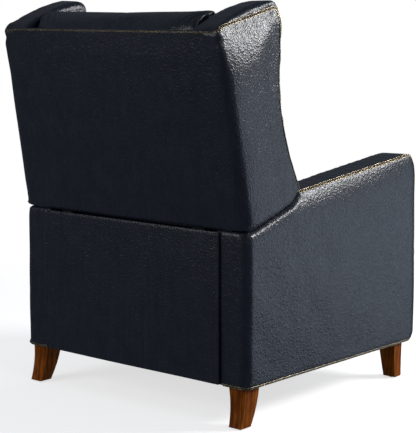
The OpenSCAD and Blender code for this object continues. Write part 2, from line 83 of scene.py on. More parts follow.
soft_box("key_softbox", (-2.33, -2.26, 1.96), (-0.35, 0.1, 0.75), 1.4, 0.6, 72)
soft_box("low_fill", (-2.5, -2.7, 0.0), (-0.35, 0, 0.45), 2.4, 1.6, 16, (0.76, 0.86, 1.0))
soft_box("side_softbox", (-3.6, 0.9, 2.2), (-0.3, 0, 0.5), 1.6, 1.6, 12)
soft_box("front_softbox", (0.3, -3.8, 1.5), (0, 0, 0.5), 1.8, 1.4, 14)
soft_box("rear_fill", (1.6, 3.6, 1.9), (0, 0, 0.6), 2.0, 1.6, 30)

world = bpy.data.worlds.new("surround")
world.use_nodes = True
bpy.context.scene.world = world
tree = world.node_tree
tree.nodes.clear()
sky_out = tree.nodes.new("ShaderNodeOutputWorld")
sky_mix = tree.nodes.new("ShaderNodeMixShader")
seen = tree.nodes.new("ShaderNodeLightPath")
dim = tree.nodes.new("ShaderNodeBackground")
dim.inputs["Color"].default_value = (0.75, 0.85, 1, 1)
dim.inputs["Strength"].default_value = 0.125
white = tree.nodes.new("ShaderNodeBackground")
white.inputs["Color"].default_value = (1, 1, 1, 1)
tree.links.new(seen.outputs["Is Camera Ray"], sky_mix.inputs[0])
tree.links.new(dim.outputs[0], sky_mix.inputs[1])
tree.links.new(white.outputs[0], sky_mix.inputs[2])
tree.links.new(sky_mix.outputs[0], sky_out.inputs[0])


class Wire:
    """A shader socket that Python's operators work on."""

    def __init__(self, finish, socket):
        self.finish = finish
        self.socket = socket

    def maths(self, operation, *values):
        return self.finish.add("ShaderNodeMath", {"operation": operation}, [self, *values])

    def __add__(self, other):
        return self.maths("ADD", other)

    __radd__ = __add__

    def __mul__(self, other):
        return self.maths("MULTIPLY", other)

    __rmul__ = __mul__

    def __rsub__(self, other):
        return self * -1 + other

    def band(self, low, high):
        """0 below low, 1 above high, and a smooth step between."""
        return self.finish.add("ShaderNodeMapRange", {"interpolation_type": "SMOOTHSTEP"},
                               {"Value": self, "From Min": low, "From Max": high})


class Finish:
    """A material made of nodes, whose surface is one Principled shader."""

    def __init__(self, name, **constants):
        self.material = bpy.data.materials.new(name)
        self.material.use_nodes = True
        self.tree = self.material.node_tree
        self.shader = self.tree.nodes["Principled BSDF"]
        self.place = Wire(self, self.tree.nodes.new("ShaderNodeTexCoord").outputs["Object"])
        for socket, value in constants.items():
            self.shader.inputs[socket.replace("_", " ")].default_value = value

    def add(self, kind, settings, inputs, output=0):
        node = self.tree.nodes.new(kind)
        for key, value in settings.items():
            setattr(node, key, value)
        pairs = inputs.items() if isinstance(inputs, dict) else enumerate(inputs)
        for key, value in pairs:
            if isinstance(value, Wire):
                self.tree.links.new(value.socket, node.inputs[key])
            else:
                node.inputs[key].default_value = value
        return Wire(self, node.outputs[output])

    def stretched(self, sizes):
        return self.add("ShaderNodeMapping", {}, {"Vector": self.place, "Scale": sizes})

    def noise(self, scale, detail=3, rough=0.55, along=None):
        return self.add("ShaderNodeTexNoise", {}, {"Vector": along or self.place, "Scale": scale,
                                                   "Detail": detail, "Roughness": rough})

    def cells(self, scale):
        return self.add("ShaderNodeTexVoronoi", {}, {"Vector": self.place, "Scale": scale})

    def blend(self, factor, low, high):
        return self.add("ShaderNodeMix", {"data_type": "RGBA"},
                        {0: factor, 6: (*low, 1) if isinstance(low, tuple) else low,
                         7: (*high, 1) if isinstance(high, tuple) else high}, output=2)

    def bump(self, height, distance, strength=1.0, under=None):
        inputs = {"Height": height, "Distance": distance, "Strength": strength}
        if under:
            inputs["Normal"] = under
        return self.add("ShaderNodeBump", {}, inputs)

    def wire_up(self, **sockets):
        for socket, value in sockets.items():
            self.tree.links.new(value.socket, self.shader.inputs[socket.replace("_", " ")])
        return self.material


FLOOR_FADE = 2.3


def floor_finish():
    """Matt pale paint that fades out a few paces from the chair."""
    paint = Finish("pale_floor", Roughness=0.9, Emission_Strength=0.7)
    speckle = paint.noise(220, 2)
    colour = paint.blend(speckle, (0.93, 0.93, 0.93), (0.97, 0.97, 0.97))
    reach = paint.add("ShaderNodeVectorMath", {"operation": "LENGTH"}, [paint.place], output=1)
    return paint.wire_up(Base_Color=colour, Emission_Color=colour,
                         Alpha=1 - reach.band(0.9, FLOOR_FADE))


deselect()
bpy.ops.mesh.primitive_circle_add(vertices=64, radius=FLOOR_FADE + 0.1, fill_type="NGON")
floor = bpy.context.object
floor.name = "floor"
floor.data.materials.append(floor_finish())
floor.visible_glossy = False
floor.visible_diffuse = False
floor.visible_shadow = False


# ---- Arms ----
# Each arm is one padded cover: navy leather over batting, pulled round a timber frame and tacked
# under the bottom rail. The outer panel pulls in towards its nailed edge, the top is flat, and
# the rear corner is softly rounded.
SIDES = {"right": -1, "left": 1}
COVER_FACES = 0.005
RIM_STEP = 0.008
ARM_SWELL = 0.011
ARM_PULL = 0.020
ARM_EDGE_RADIUS = 0.0045
ARM_REAR_RADIUS = 0.0245
NOTCH_LENGTH = 0.225
NOTCH_RADIUS = 0.014
TUCK_HEIGHT = 0.0003
TUCK_REACH = 0.055


def leather(name, deep, pale, gloss):
    """Navy top-grain hide, semi-gloss, with a pebbled grain and faint upright streaks."""
    hide = Finish(name, Specular_IOR_Level=0.5, IOR=1.5)
    mottle = hide.noise(24, 5, 0.62)
    fleck = hide.noise(190, 1.5, 0.5)
    streak = hide.noise(1, 3, 0.6, along=hide.stretched((110, 110, 9)))
    tone = (mottle * 0.35 + fleck * 0.35 + streak * 0.3).band(0.34, 0.68)
    pebble = hide.cells(560)
    crease = hide.noise(80, 2, 0.5)
    slack = hide.noise(9, 2, 0.4)
    grain = hide.bump(pebble * 0.5 + hide.noise(900, 2) * 0.5, 0.0003, 0.5)
    grain = hide.bump(crease * 0.5 + fleck, 0.0015, 0.85, grain)
    grain = hide.bump(slack, 0.005, 0.25, grain)
    rough = fleck.band(0.38, 0.62) * -0.07 + gloss
    return hide.wire_up(Base_Color=hide.blend(tone, deep, pale), Roughness=rough, Normal=grain)


def only(piece):
    """piece alone is selected and active."""
    deselect()
    piece.select_set(True)
    bpy.context.view_layer.objects.active = piece


def outer_face(node, out):
    """The outermost flat face of a CAD node that looks along out: its normal and its outline."""
    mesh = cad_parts[node].data
    mesh.calc_loop_triangles()
    facing = [t for t in mesh.loop_triangles if t.normal.dot(out) > 0.95]
    normal = max(facing, key=lambda t: t.area).normal.copy()
    spot = lambda i: tuple(round(c, 6) for c in mesh.vertices[i].co)
    flat = [[spot(i) for i in t.vertices] for t in facing if t.normal.dot(normal) > 0.9999]
    far = max(Vector(corners[0]).dot(normal) for corners in flat)
    steps = {}
    for corners in flat:
        if Vector(corners[0]).dot(normal) > far - 0.0005:
            for a, b in zip(corners, corners[1:] + corners[:1]):
                steps.setdefault(a, set()).add(b)
    rim = {a: [b for b in ends if a not in steps.get(b, ())] for a, ends in steps.items()}
    rim = {a: ends[0] for a, ends in rim.items() if ends}
    loop = [min(rim, key=lambda p: p[2])]
    while rim[loop[-1]] != loop[0]:
        loop.append(rim[loop[-1]])
    return normal, [Vector(p) for p in loop]


def block(name, outline, inward):
    """A closed block with that outline on one face."""
    deselect()
    bpy.ops.mesh.primitive_circle_add(vertices=len(outline), fill_type="NGON")
    piece = bpy.context.object
    piece.name = name
    for vertex, place in zip(piece.data.vertices, outline):
        vertex.co = place
    bpy.ops.object.mode_set(mode="EDIT")
    bpy.ops.mesh.select_all(action="SELECT")
    bpy.ops.mesh.extrude_region_move(TRANSFORM_OT_translate={"value": inward})
    bpy.ops.mesh.select_all(action="SELECT")
    bpy.ops.mesh.normals_make_consistent(inside=False)
    bpy.ops.object.mode_set(mode="OBJECT")
    return piece


def apply_modifier(piece, kind, **settings):
    only(piece)
    modifier = piece.modifiers.new(kind.lower(), kind)
    for key, value in settings.items():
        setattr(modifier, key, value)
    bpy.ops.object.modifier_apply(modifier=modifier.name)


def even_skin(piece, voxel):
    """A skin of small even faces, smooth shaded."""
    apply_modifier(piece, "REMESH", mode="VOXEL", voxel_size=voxel)
    only(piece)
    bpy.ops.object.shade_smooth()


def relax(piece, rounds, factor=0.5):
    apply_modifier(piece, "SMOOTH", factor=factor, iterations=rounds)


def read_points(piece):
    points = np.empty(len(piece.data.vertices) * 3)
    piece.data.vertices.foreach_get("co", points)
    return points.reshape(-1, 3)


def read_normals(piece):
    normals = np.empty(len(piece.data.vertices) * 3)
    piece.data.vertices.foreach_get("normal", normals)
    return normals.reshape(-1, 3)


def write_points(piece, points):
    piece.data.vertices.foreach_set("co", np.ascontiguousarray(points).ravel())
    piece.data.update()


def densely(path, step, closed=False):
    """The path with points no further than step apart, as an array."""
    ends = path[1:] + (path[:1] if closed else [])
    dense = []
    for a, b in zip(path, ends):
        count = max(1, math.ceil((b - a).length / step))
        dense += [a.lerp(b, i / count) for i in range(count)]
    return np.array([tuple(p) for p in (dense if closed else dense + [path[-1]])])


def nearness(path, points, reach):
    """1 on the path, falling to 0 at reach from it, seen along X."""
    best = np.full(len(points), 9.0)
    for a, b in zip(path[:, 1:], path[1:, 1:]):
        run = b - a
        t = np.clip((points[:, 1:] - a) @ run / (run @ run), 0, 1)
        best = np.minimum(best, np.linalg.norm(points[:, 1:] - a - t[:, None] * run, axis=1))
    return np.clip(1 - best / reach, 0, 1)


def round_rim(points, outline, radii, anchor, out):
    """Rounds the edge between a flat face (anchor, out) and the walls that stand on its outline.

    radii holds, at each point of the outline, the radius into the face's depth and the radius
    in from the wall.
    """
    out = np.array(out)
    depth = (np.array(anchor) - points) @ out
    after = np.roll(outline, -1, axis=0)
    radii_after = np.roll(radii, -1, axis=0)
    area = np.sum(outline[:, 1] * after[:, 2] - after[:, 1] * outline[:, 2])
    best = np.full(len(points), 9.0)
    inward = np.zeros((len(points), 2))
    radius = np.ones((len(points), 2))
    for a, b, ra, rb in zip(outline[:, 1:], after[:, 1:], radii, radii_after):
        run = b - a
        t = np.clip((points[:, 1:] - a) @ run / (run @ run), 0, 1)
        offset = points[:, 1:] - a - t[:, None] * run
        gap = np.linalg.norm(offset, axis=1)
        left = np.array([-run[1], run[0]]) / np.linalg.norm(run) * np.sign(area)
        nearer = gap < best
        best[nearer] = gap[nearer]
        inward[nearer] = left
        radius[nearer] = (ra + (rb - ra) * t[:, None])[nearer]
    u = np.clip((radius[:, 0] - depth) / radius[:, 0], 0, 1)
    v = np.clip((radius[:, 1] - best) / radius[:, 1], 0, 1)
    down = radius[:, 0] * (u - u * np.sqrt(1 - v * v / 2))
    across = radius[:, 1] * (v - v * np.sqrt(1 - u * u / 2))
    points -= out * down[:, None]
    points[:, 1:] += inward * across[:, None]


def draw_in(points, edges, anchor, out, thickness, proud):
    """Swells a padded panel, but draws it in towards its edges: (path, depth, width)."""
    out = np.array(out)
    share = np.clip(1 - (np.array(anchor) - points) @ out / thickness, 0, 1)
    pull = np.zeros(len(points))
    for path, depth, width in edges:
        near = depth * nearness(path, points, width) ** 2
        pull = np.sqrt(pull ** 2 + near ** 2)
    points += out * ((proud - pull) * share)[:, None]


def tuck(points, normals, path, height, reach, pitch, seed):
    """Small tucks that run away from a nailed edge and die out."""
    phase = np.random.default_rng(seed).uniform(0, 2 * math.pi, 3)
    along = (points[:, 1] - 0.5 * points[:, 2]) * 2 * math.pi / pitch
    wave = (np.sin(along + phase[0]) + 0.6 * np.sin(along * 1.63 + phase[1])
            + 0.5 * np.sin(along * 0.41 + phase[2]))
    points += normals * (height * nearness(path, points, reach) ** 1.5 * wave)[:, None]


def undulate(points, normals, height, seed):
    """The slight unevenness of batting under a cover."""
    rng = np.random.default_rng(seed)
    wave = np.zeros(len(points))
    for length in (0.31, 0.22, 0.15, 0.10):
        heading = rng.normal(size=3)
        heading *= 2 * math.pi / length / np.linalg.norm(heading)
        wave += np.sin(points @ heading + rng.uniform(0, 6.28)) * length / 0.31
    points += normals * (height * wave / 2)[:, None]


def dress(piece, body, slot, material, *nodes):
    """The piece gets its finish and its body, and the CAD nodes that it stands for are hidden."""
    if material:
        piece.data.materials.clear()
        piece.data.materials.append(material)
    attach(piece, body)
    if nodes:
        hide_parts(*nodes)


cover_leather = leather("navy_cover_leather", (0.0070, 0.0105, 0.019), (0.021, 0.027, 0.044),
                        0.335)
arm_low, arm_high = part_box("arm_cover_right")
rear_y, front_y, foot_z = arm_high.y, arm_low.y, arm_low.z
notch_y = rear_y - NOTCH_LENGTH
arm_face = abs(arm_low.x)
arm_inner = abs(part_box("arm_lining_right")[1].x)
arm_thick = arm_face - arm_inner
post_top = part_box("rear_flap")[1].z
arms = {}
for side, sign in SIDES.items():
    out, outline = outer_face("arm_cover_" + side, Vector((sign, 0, 0)))
    for p in outline:
        if p.y > notch_y and p.z > post_top - 0.01:
            p.z += 0.002
    piece = block("arm_upholstery_" + side, outline, (-sign * arm_thick, 0, 0))
    even_skin(piece, COVER_FACES)
    rim = densely(outline, RIM_STEP, closed=True)
    rearward = np.clip((rim[:, 1] - rear_y + 0.012) / 0.012, 0, 1)
    high = rim[:, 2] > post_top + 0.004
    in_notch = high & (rim[:, 1] > notch_y)
    radius = (np.where(in_notch, NOTCH_RADIUS, ARM_EDGE_RADIUS)
              + rearward * (ARM_REAR_RADIUS - ARM_EDGE_RADIUS))
    radii = np.stack([radius, radius], axis=1)
    soft = np.stack([np.where(rim[:, 2] > foot_z + 0.02, 0.014, 0.006)] * 2, axis=1)
    points = read_points(piece)
    round_rim(points, rim, radii, outline[0], out)
    inner_anchor = outline[0] - out * arm_thick
    round_rim(points, rim, soft, inner_anchor, -out)
    top = rim[high & (rim[:, 1] > front_y + 0.010)]
    top = top[np.argsort(top[:, 1])]
    notch = top[top[:, 1] > notch_y - 0.010]
    slope = top[top[:, 1] < notch_y]
    front = rim[rim[:, 1] < front_y + 0.012]
    front = front[np.argsort(front[:, 2])]
    ahead = np.clip((notch_y - 0.005 - points[:, 1]) / 0.42, 0, 1)
    edges = [(slope, ARM_PULL - 0.008 * ahead, 0.080), (notch, 0.006, 0.035), (front, 0.006, 0.03)]
    draw_in(points, edges, outline[0], out, arm_thick, ARM_SWELL)
    write_points(piece, points)
    relax(piece, 3)
    points, normals = read_points(piece), read_normals(piece)
    undulate(points, normals, 0.0011, 3 + sign)
    tuck(points, normals, slope, TUCK_HEIGHT, TUCK_REACH, 0.036, 12 + sign)
    write_points(piece, points)
    dress(piece, "base", "cover_leather", cover_leather,
          "arm_cover_" + side, "arm_lining_" + side)
    arms[side] = piece


# ---- Rear flap ----
# A stiff leather-covered panel that closes the base between the rear posts. Its turned edges
# stand a little proud and throw a thin shadow down each side.
flap_low, flap_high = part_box("rear_flap")
flap_skin = 0.0005
flap = block("rear_flap_panel",
             [Vector((x, flap_low.y + flap_skin, z)) for x, z in
              ((flap_low.x, flap_low.z), (flap_high.x, flap_low.z),
               (flap_high.x, flap_high.z + 0.002), (flap_low.x, flap_high.z + 0.002))],
             (0, flap_high.y - flap_low.y - flap_skin, 0))
even_skin(flap, 0.004)
relax(flap, 2)
points = read_points(flap)
proud = points[:, 1] > flap_low.y + 0.004
edge_gap = np.minimum(points[:, 0] - flap_low.x, flap_high.x - points[:, 0])
seam = 0.0014 * np.exp(-((edge_gap - 0.013) / 0.0035) ** 2)
slack = 0.0010 * np.sin(points[:, 0] * 13 + 1) * np.sin(points[:, 2] * 11 + 0.4)
points[:, 1] += np.where(proud, slack - seam, 0)
write_points(flap, points)
dress(flap, "base", "cover_leather", cover_leather, "rear_flap")


# ---- Reclining back, outside ----
# One leather cover wraps the raked rear panel and both wings. The wings' outer panels swell
# away from their nailed edges, their tops are crowned rolls, and the rear corners are rounded.
rear_out, rear_outline = outer_face("outside_back", Vector((0, 1, 0)))
back_up = Vector((0, -rear_out.z, rear_out.y))
hem = min(rear_outline, key=lambda p: p.z)
back_top = max((p - hem).dot(back_up) for p in rear_outline)
seam_low, seam_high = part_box("back_top_trim")
PANEL = 0.006
HEM_DROP = 0.003
HEM_BAND = 0.045
WING_THICKNESS = 0.084
WING_SWELL = 0.013
WING_PULL = 0.018
WING_EDGE_RADIUS = 0.004
WING_CROWN_RADIUS = 0.022
WING_REAR_RADIUS = 0.026


def back_frame(points):
    """Points as X, distance behind the rear face, and height up the raked back."""
    offset = np.asarray(points) - np.array(hem)
    return np.stack([offset[:, 0] + hem.x, offset @ np.array(rear_out),
                     offset @ np.array(back_up)], axis=1)


def from_back_frame(local):
    return (np.array([0, hem.y, hem.z]) + local[:, :1] * np.array([1, 0, 0])
            + local[:, 1:2] * np.array(rear_out) + local[:, 2:] * np.array(back_up))


def trim_line(node, out):
    """The middle line of a flat C-shaped trim, from one end to the other."""
    loop = outer_face(node, out)[1]
    count = len(loop)
    width = seam_high.z - seam_low.z
    pairs = lambda s: [(loop[(s + i) % count], loop[(s - 1 - i) % count])
                       for i in range(count // 2)]
    spread = lambda s: max(abs((a - b).length - width) for a, b in pairs(s))
    return [(a + b) / 2 for a, b in pairs(min(range(count), key=spread))]


wing_lines = {}
shell = []
for side, sign in SIDES.items():
    cover = "wing_cover_" + side
    out, outline = outer_face(cover, Vector((sign, 0, 0)))
    behind = back_frame([tuple(p) for p in outline])[:, 1]
    outline = [p + rear_out * PANEL if y > -PANEL - 0.0005 else p for p, y in zip(outline, behind)]
    rise = back_frame([tuple(p) for p in outline])[:, 2]
    outline = [p - back_up * HEM_DROP * min(1, max(0, (HEM_BAND - z) / 0.02))
               for p, z in zip(outline, rise)]
    piece = block("wing_" + side, outline, -out * WING_THICKNESS)
    even_skin(piece, COVER_FACES)
    line = trim_line("wing_trim_" + side, Vector((sign, 0, 0)))
    wing_lines[side] = (out, line)
    line = densely(line, RIM_STEP)
    rim = densely(outline, RIM_STEP, closed=True)
    local = back_frame(rim)
    seam_end = hem + back_up * back_top + Vector((sign * seam_high.x, 0, 0))
    upward = line if line[0, 2] < line[-1, 2] else line[::-1]
    edge_line = np.concatenate([upward, np.array([seam_end])])
    crown = np.linalg.norm(rim[:, None, 1:] - edge_line[None, :, 1:], axis=2).min(axis=1)
    behind_front = np.clip((local[:, 1] - local[:, 1].min()) / 0.06, 0.25, 1)
    crown = np.clip(crown, WING_EDGE_RADIUS, WING_CROWN_RADIUS) * behind_front
    crown = np.where(local[:, 2] > back_top - 0.03, crown, WING_EDGE_RADIUS)
    below_top = np.clip((back_top - local[:, 2]) / 0.12, 0, 1)
    rearward = WING_REAR_RADIUS * np.clip((local[:, 1] + 0.010) / 0.010, 0, 1) * below_top
    radii = np.stack([np.maximum(crown * 0.8, rearward), np.maximum(crown, rearward)], axis=1)
    radii = np.maximum(radii, WING_EDGE_RADIUS)
    points = read_points(piece)
    round_rim(points, rim, radii, outline[0], out)
    head = np.clip((-local[:, 1] - 0.08) / 0.10, 0, 1)
    inside = np.where(local[:, 2] > back_top - 0.04, 0.008 + 0.010 * head, 0.016)
    inside = np.stack([np.where(local[:, 1] > -0.012, 0.002, inside)] * 2, axis=1)
    round_rim(points, rim, inside, outline[0] - out * WING_THICKNESS, -out)
    hem_line = rim[local[:, 2] < HEM_BAND]
    hem_line = hem_line[np.argsort(hem_line[:, 1])]
    near_rear = np.clip(1 + back_frame(points)[:, 1] / 0.05, 0, 1)
    near_front = nearness(line[back_frame(line)[:, 2] < back_top - 0.02], points, 0.05)
    edges = [(edge_line, WING_PULL - 0.009 * np.maximum(near_rear, near_front), 0.13),
             (hem_line, 0.003, 0.02)]
    draw_in(points, edges, outline[0], out, WING_THICKNESS, WING_SWELL - 0.003 * near_rear)
    write_points(piece, points)
    shell.append(piece)

side_gap = 0.040
panel_outline = [p - Vector((math.copysign(side_gap, p.x), 0, 0))
                 + back_up * (0.004 if (p - hem).dot(back_up) > back_top / 2 else -0.005)
                 for p in rear_outline]
panel = block("rear_panel", panel_outline, -rear_out * 0.011)
only(panel)
for piece in shell:
    piece.select_set(True)
bpy.ops.object.join()
back_shell = panel
back_shell.name = "back_shell"
even_skin(back_shell, COVER_FACES)
relax(back_shell, 3)
points, normals = read_points(back_shell), read_normals(back_shell)
local = back_frame(points)
rear_face = (local[:, 1] > -0.004) & (normals @ np.array(rear_out) > 0.7)
swell = (np.clip((0.34 - np.abs(local[:, 0])) / 0.10, 0, 1)
         * np.clip(local[:, 2] / 0.06, 0, 1)
         * np.clip((back_top - local[:, 2]) / 0.06, 0, 1))
points += np.array(rear_out) * (0.0025 * swell * rear_face)[:, None]
undulate(points, normals, 0.0012, 21)
for side, sign in SIDES.items():
    line = densely(wing_lines[side][1], 0.01)
    mine = np.sign(points[:, 0]) == sign
    part = points[mine]
    tuck(part, normals[mine], line, TUCK_HEIGHT, TUCK_REACH, 0.04, 30 + sign)
    points[mine] = part
write_points(back_shell, points)
dress(back_shell, "back", "cover_leather", cover_leather, "outside_back", "wing_cover_left",
      "wing_cover_right", "wing_lining_left", "wing_lining_right")


# ---- Nail trim ----
# Domed antique-brass nails stand close together between two thin metal cords, along the arms'
# and wings' outer edges, the rear posts' feet and the top of the rear panel.
NAIL_RADIUS = 0.0026
NAIL_PITCH_IN_RADII = 2.4
NAIL_STEP = 0.003
REAR_CORNER = 0.030


def brass_finish(name, deep, pale):
    brass = Finish(name, Metallic=1.0, Specular_IOR_Level=0.5)
    tarnish = (brass.noise(240, 3) * 0.6 + brass.noise(35, 2) * 0.4).band(0.35, 0.7)
    pits = brass.noise(1500, 2)
    return brass.wire_up(Base_Color=brass.blend(tarnish, deep, pale),
                         Roughness=0.36 - tarnish * 0.12, Normal=brass.bump(pits, 0.0002, 0.4))


brass_nails = brass_finish("antique_brass", (0.16, 0.12, 0.07), (0.46, 0.37, 0.24))
# The cords are a paler brass than the nails. This is partly the cords' own metal and partly
# painted highlight for the bright line along each side of the trim.
brass_cord_paler_highlight = brass_finish("pale_brass_cord_highlight", (0.24, 0.19, 0.12), (0.62, 0.54, 0.40))


def surface_of(*pieces):
    """A search tree over the finished surfaces of those pieces."""
    corners, faces = [], []
    for piece in pieces:
        start = len(corners)
        corners += [v.co.copy() for v in piece.data.vertices]
        faces += [[start + i for i in p.vertices] for p in piece.data.polygons]
    return BVHTree.FromPolygons(corners, faces)


def laid_on(surface, path, aims):
    """Each path point moved along its aim onto the surface, with the surface's normals."""
    places, normals = [], []
    for place, aim in zip(path, aims):
        hit = surface.ray_cast(Vector(place) - Vector(aim) * 0.06, Vector(aim), 0.12)
        if hit[0] is None:
            hit = surface.find_nearest(Vector(place))
        places.append(tuple(hit[0]))
        normals.append(tuple(hit[1]))
    places, normals = np.array(places), np.array(normals)
    for _ in range(3):
        normals[1:-1] = (normals[:-2] + normals[1:-1] + normals[2:]) / 3
        places[1:-1] = (places[:-2] + 2 * places[1:-1] + places[2:]) / 4
    return places, normals / np.linalg.norm(normals, axis=1)[:, None]


def tube(name, paths, radius, closed=False, sides=2):
    """Round cord along each path, as a mesh."""
    curve = bpy.data.curves.new(name, "CURVE")
    curve.dimensions = "3D"
    curve.bevel_depth = radius
    curve.bevel_resolution = sides
    curve.use_fill_caps = not closed
    for path in paths:
        spline = curve.splines.new("POLY")
        spline.points.add(len(path) - 1)
        for point, place in zip(spline.points, path):
            point.co = (*place, 1)
        spline.use_cyclic_u = closed
    piece = bpy.data.objects.new(name, curve)
    bpy.context.collection.objects.link(piece)
    only(piece)
    bpy.ops.object.convert(target="MESH")
    piece = bpy.context.object
    bpy.ops.object.shade_smooth()
    return piece


deselect()
bpy.ops.mesh.primitive_uv_sphere_add(segments=10, ring_count=6, radius=NAIL_RADIUS)
nail = bpy.context.object
bpy.ops.object.mode_set(mode="EDIT")
bpy.ops.mesh.select_all(action="SELECT")
bpy.ops.mesh.bisect(plane_co=(0, 0, 0), plane_no=(0, 0, 1), clear_inner=True, use_fill=True)
bpy.ops.object.mode_set(mode="OBJECT")
nail_points = read_points(nail) * (1, 1, 0.75) / NAIL_RADIUS
nail_faces = [list(p.vertices) for p in nail.data.polygons]
deselect()
nail.select_set(True)
bpy.ops.object.delete()


def nail_row(name, runs, radius=NAIL_RADIUS, cord_radius=0.0009):
    """One piece: nails and their two cords along runs of (places, normals)."""
    corners, faces, cords = [], [], []
    for places, normals in runs:
        steps = np.linalg.norm(np.diff(places, axis=0), axis=1)
        reach = np.concatenate([[0], np.cumsum(steps)])
        along = np.gradient(places, axis=0)
        along /= np.linalg.norm(along, axis=1)[:, None]
        across = np.cross(normals, along)
        for gap in (-1, 1):
            cords.append(places + across * gap * (radius + cord_radius * 0.9) + normals * 0.0004)
        count = int(reach[-1] / (NAIL_PITCH_IN_RADII * radius))
        for i in range(count):
            at = (i + 0.5) * reach[-1] / count
            mix = lambda values: np.array([np.interp(at, reach, values[:, k]) for k in range(3)])
            spin = Vector(mix(normals)).to_track_quat("Z", "Y").to_matrix()
            start = len(corners)
            foot = Vector(mix(places))
            corners += [tuple(foot + spin @ Vector(p * radius)) for p in nail_points]
            faces += [[start + i for i in face] for face in nail_faces]
    mesh = bpy.data.meshes.new(name)
    mesh.from_pydata(corners, [], faces)
    piece = bpy.data.objects.new(name, mesh)
    bpy.context.collection.objects.link(piece)
    piece.data.materials.append(brass_nails)
    cord = tube(name + "_cords", cords, cord_radius, sides=1)
    cord.data.materials.append(brass_cord_paler_highlight)
    only(piece)
    cord.select_set(True)
    bpy.ops.object.join()
    only(piece)
    bpy.ops.object.shade_smooth()
    return piece


for side, sign in SIDES.items():
    surface = surface_of(arms[side])
    line = trim_line("arm_trim_" + side, Vector((sign, 0, 0)))
    if line[0].z > line[-1].z:
        line = line[::-1]
    shoulder = max(i for i, p in enumerate(line)
                   if p.y < notch_y + 0.001 and p.z > foot_z + 0.3)
    line = densely(line[:shoulder + 1], NAIL_STEP)
    line = line[(line[:, 1] < rear_y - 0.034) | (line[:, 2] > foot_z + 0.02)]
    turn = [math.radians(a) for a in range(90, 0, -6)]
    bend = [(sign * (arm_face - REAR_CORNER + REAR_CORNER * math.sin(a)),
             rear_y - REAR_CORNER + REAR_CORNER * math.cos(a), line[0][2]) for a in turn]
    aims = [(-sign * math.sin(a), -math.cos(a), 0) for a in turn]
    inner_end = flap_high.x + 0.004
    across = [(sign * x, rear_y, line[0][2])
              for x in np.arange(arm_face - REAR_CORNER, inner_end, -NAIL_STEP)]
    path = across[::-1] + bend[::-1] + [tuple(p) for p in line]
    aims = [(0, -1, 0)] * len(across) + aims[::-1] + [(-sign, 0, 0)] * len(line)
    piece = nail_row("arm_nails_" + side, [laid_on(surface, path, aims)])
    dress(piece, "base", "nail_trim", None, "arm_trim_" + side)

surface = surface_of(back_shell)
seam_reach = seam_high.x - 0.002
top_edge = hem + back_up * back_top
seam_aim = (-rear_out - back_up).normalized()
for side, sign in SIDES.items():
    out, line = wing_lines[side]
    if line[0].z < line[-1].z:
        line = line[::-1]
    line = densely(line, NAIL_STEP)
    corner = Vector((sign * seam_reach, top_edge.y, top_edge.z))
    lead = densely([corner, Vector(line[0])], NAIL_STEP)[:-1]
    lead_aims = [tuple((Vector((-sign, 0, 0)) * t + seam_aim * (1 - t)).normalized())
                 for t in np.linspace(0, 1, len(lead))]
    places = [tuple(p) for p in lead] + [tuple(p) for p in line]
    piece = nail_row("wing_nails_" + side,
                     [laid_on(surface, places, lead_aims + [tuple(-out)] * len(line))])
    dress(piece, "back", "nail_trim", None, "wing_trim_" + side)
seam = densely([Vector((x, top_edge.y, top_edge.z)) for x in (-seam_reach, seam_reach)], 0.004)
piece = nail_row("back_top_nails", [laid_on(surface, seam, [tuple(seam_aim)] * len(seam))],
                 0.0015, 0.0003)
dress(piece, "back", "nail_trim", None, "back_top_trim")


# ---- Seat cushion ----
# A boxed cushion: slightly lighter navy leather over foam, crowned on top and flat where it
# rests on the deck. A self-welt is sewn round it near the top edge.
CUSHION_FACES = 0.008
WELT_RADIUS = 0.0032
seat_leather = leather("navy_seat_leather", (0.0085, 0.0120, 0.021), (0.025, 0.031, 0.049), 0.34)


def copy_of(node, name):
    """A merged copy of a CAD node, as a new piece."""
    piece = bpy.data.objects.new(name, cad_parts[node].data.copy())
    bpy.context.collection.objects.link(piece)
    only(piece)
    bpy.ops.object.mode_set(mode="EDIT")
    bpy.ops.mesh.select_all(action="SELECT")
    bpy.ops.mesh.remove_doubles(threshold=0.00001)
    bpy.ops.object.mode_set(mode="OBJECT")
    return piece


def inflate(piece, voxel, pressure, cap):
    """Fills a cover like a cushion: a short cloth simulation, whose movement is capped."""
    apply_modifier(piece, "REMESH", mode="VOXEL", voxel_size=voxel)
    start = read_points(piece)
    only(piece)
    cloth = piece.modifiers.new("filling", "CLOTH")
    cloth.settings.use_pressure = True
    cloth.settings.uniform_pressure_force = pressure
    cloth.settings.effector_weights.gravity = 0
    cloth.settings.quality = 5
    for step in range(1, 21):
        bpy.context.scene.frame_set(step)
    bpy.ops.object.modifier_apply(modifier=cloth.name)
    bpy.context.scene.frame_set(1)
    shift = read_points(piece) - start
    length = np.linalg.norm(shift, axis=1)
    shift *= (np.minimum(length, cap) / np.maximum(length, 1e-9))[:, None]
    write_points(piece, start + shift)
    relax(piece, 3)
    apply_modifier(piece, "SUBSURF", levels=1, render_levels=1)
    only(piece)
    bpy.ops.object.shade_smooth()


def fit(points, axis, low, high):
    """Stretches points along one axis so that they lie between low and high."""
    values = points[:, axis]
    share = (values - values.min()) / (values.max() - values.min())
    points[:, axis] = low + (high - low) * share


def shrink(piece, margins):
    """Takes margins off both ends of the piece along X, Y and Z."""
    points = read_points(piece)
    for axis, margin in enumerate(margins):
        fit(points, axis, points[:, axis].min() + margin, points[:, axis].max() - margin)
    write_points(piece, points)


def welt(name, path, aims, surface, radius):
    """A closed loop of covered cord, sunk a little into the surface."""
    places, normals = laid_on(surface, path, aims)
    return tube(name, [places + normals * radius * 0.25], radius, closed=True, sides=3)


